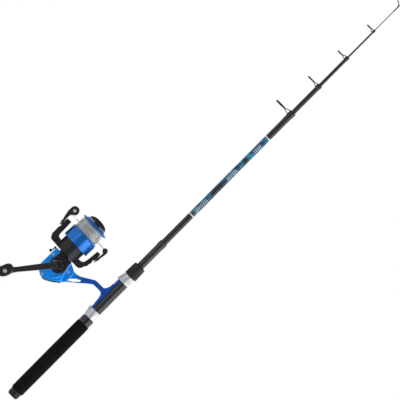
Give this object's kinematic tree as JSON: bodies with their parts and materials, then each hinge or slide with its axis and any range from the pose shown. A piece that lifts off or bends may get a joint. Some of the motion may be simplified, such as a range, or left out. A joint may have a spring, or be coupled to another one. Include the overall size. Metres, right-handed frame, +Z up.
{
  "type": "fishing rod and reel",
  "caption": "Telescopic fishing rod with a foam grip and line guides, and a spinning reel with a folding crank handle, bail and line spool, clamped in a screw reel seat.",
  "frame": {"origin": "on the rod's axis, at the rear face of the foam grip", "axes": "+X along the rod towards the tip, +Z up with the reel hanging below the rod, +Y the side that the crank handle is on"},
  "size_m": [0.83, 0.137, 0.1599],
  "materials": {
    "foam": "closed-cell foam, matt",
    "cap_rubber": "moulded rubber",
    "blank": "clear-coated glass and carbon fibre",
    "sleeve": "dark gloss lacquer",
    "seat_silver": "satin, brushed",
    "blue_paint": "bright blue metallic lacquer",
    "spool_blue": "blue anodised and lacquered",
    "black_plastic": "satin moulded plastic",
    "black_paint": "black lacquer",
    "knob": "soft-touch moulded plastic",
    "steel": "turned and polished",
    "bright_wire": "polished",
    "brass": "machined",
    "zinc": "die cast",
    "nylon": "natural nylon",
    "line": "clear nylon monofilament",
    "guide_frame": "dark chrome",
    "guide_liner": "polished ceramic",
    "roller_gold": "polished, titanium nitride look",
    "felt": "oiled felt and steel"
  },
  "bodies": {
    "root": {"butt_cap": "cap_rubber", "grip_foam": "foam", "grip_collar": "sleeve", "seat_tube": "sleeve", "rear_hood": "seat_silver", "handle_sleeve": "sleeve", "butt_blank": "blank", "guide_1": "guide_frame", "guide_ring_1": "guide_liner", "reel_body": "blue_paint", "side_cover": "blue_paint", "cover_screws": "steel", "rear_guard": "black_plastic", "front_neck": "black_plastic", "boss_cover": "black_plastic", "side_cap": "black_plastic", "drive_bearings": "steel", "pinion_bearing": "steel", "one_way_clutch": "steel", "slider_guides": "steel"},
    "section_2": {"section_2": "blank", "guide_2": "guide_frame", "guide_ring_2": "guide_liner"},
    "section_3": {"section_3": "blank", "guide_3": "guide_frame", "guide_ring_3": "guide_liner"},
    "section_4": {"section_4": "blank", "guide_4": "guide_frame", "guide_ring_4": "guide_liner"},
    "tip": {"tip_section": "blank", "tip_guide": "guide_frame"},
    "seat_hood": {"front_hood": "seat_silver"},
    "seat_nut": {"seat_nut": "cap_rubber"},
    "crank": {"drive_gear": "zinc", "drive_axle": "steel", "handle_hub": "black_paint", "fold_pin": "steel"},
    "handle_arm": {"handle_arm": "black_paint", "knob_pin": "steel"},
    "handle_knob": {"handle_knob": "knob"},
    "cam": {"cam_gear": "nylon"},
    "shaft": {"main_shaft": "steel", "shaft_slider": "brass"},
    "spool": {"spool": "spool_blue", "line_winding": "line", "click_gear": "nylon", "drag_washers": "felt"},
    "drag_knob": {"drag_knob": "black_plastic"},
    "rotor": {"pinion": "brass", "rotor": "black_plastic", "rotor_arm_covers": "black_plastic", "rotor_nut": "steel"},
    "bail": {"bail_lever": "black_paint", "bail_foot_lever": "black_paint", "bail_wire": "bright_wire", "bail_cone": "bright_wire", "roller_screw": "steel", "bail_screws": "steel"},
    "line_roller": {"line_roller": "roller_gold"},
    "anti_reverse": {"anti_reverse_lever": "black_plastic"}
  },
  "joints": [
    {"name": "section_2_slide", "type": "slide", "parent": "root", "child": "section_2", "axis": [1, 0, 0], "range_m": [-0.05, 0.43]},
    {"name": "section_3_slide", "type": "slide", "parent": "section_2", "child": "section_3", "axis": [1, 0, 0], "range_m": [-0.052, 0.43]},
    {"name": "section_4_slide", "type": "slide", "parent": "section_3", "child": "section_4", "axis": [1, 0, 0], "range_m": [-0.0505, 0.43]},
    {"name": "tip_slide", "type": "slide", "parent": "section_4", "child": "tip", "axis": [1, 0, 0], "range_m": [-0.0385, 0.43]},
    {"name": "hood_slide", "type": "slide", "parent": "root", "child": "seat_hood", "axis": [1, 0, 0], "range_m": [0, 0.011]},
    {"name": "nut_spin", "type": "hinge", "parent": "seat_hood", "child": "seat_nut", "pos_m": [0.25225, 0, 0], "axis": [1, 0, 0], "range_deg": [0, 2634]},
    {"name": "crank_spin", "type": "hinge", "parent": "root", "child": "crank", "pos_m": [0.179, 0, -0.0885], "axis": [0, 1, 0], "continuous": true},
    {"name": "arm_fold", "type": "hinge", "parent": "crank", "child": "handle_arm", "pos_m": [0.1759, 0.045, -0.09102], "axis": [0.6307, 0, -0.776], "range_deg": [0, 80]},
    {"name": "knob_spin", "type": "hinge", "parent": "handle_arm", "child": "handle_knob", "pos_m": [0.11746, 0.075, -0.13851], "axis": [0, 1, 0], "continuous": true},
    {"name": "rotor_spin", "type": "hinge", "parent": "root", "child": "rotor", "pos_m": [0.20428, 0, -0.09308], "axis": [0.9986, 0, 0.0523], "continuous": true},
    {"name": "cam_spin", "type": "hinge", "parent": "root", "child": "cam", "pos_m": [0.16606, -0.0074, -0.09388], "axis": [0, 1, 0], "continuous": true},
    {"name": "shaft_slide", "type": "slide", "parent": "root", "child": "shaft", "axis": [0.9986, 0, 0.0523], "range_m": [-0.003, 0.005]},
    {"name": "spool_spin", "type": "hinge", "parent": "shaft", "child": "spool", "pos_m": [0.24722, 0, -0.09083], "axis": [0.9986, 0, 0.0523], "continuous": true},
    {"name": "drag_knob_turn", "type": "hinge", "parent": "shaft", "child": "drag_knob", "pos_m": [0.26419, 0, -0.08994], "axis": [0.9986, 0, 0.0523], "range_deg": [-360, 360]},
    {"name": "bail_flip", "type": "hinge", "parent": "rotor", "child": "bail", "pos_m": [0.22724, 0, -0.09188], "axis": [-0.0523, 0, 0.9986], "range_deg": [0, 95]},
    {"name": "roller_spin", "type": "hinge", "parent": "bail", "child": "line_roller", "pos_m": [0.2532, -0.0006, -0.12857], "axis": [0, 1, 0], "continuous": true},
    {"name": "anti_reverse_turn", "type": "hinge", "parent": "root", "child": "anti_reverse", "pos_m": [0.19302, 0, -0.10769], "axis": [-0.0523, 0, 0.9986], "range_deg": [0, 35]}
  ],
  "couplings": [
    {"joint": "hood_slide", "follows": "nut_spin", "m_per_rad": 0.00023873},
    {"joint": "rotor_spin", "follows": "crank_spin", "ratio": -5},
    {"joint": "cam_spin", "follows": "crank_spin", "ratio": -0.53846}
  ]
}
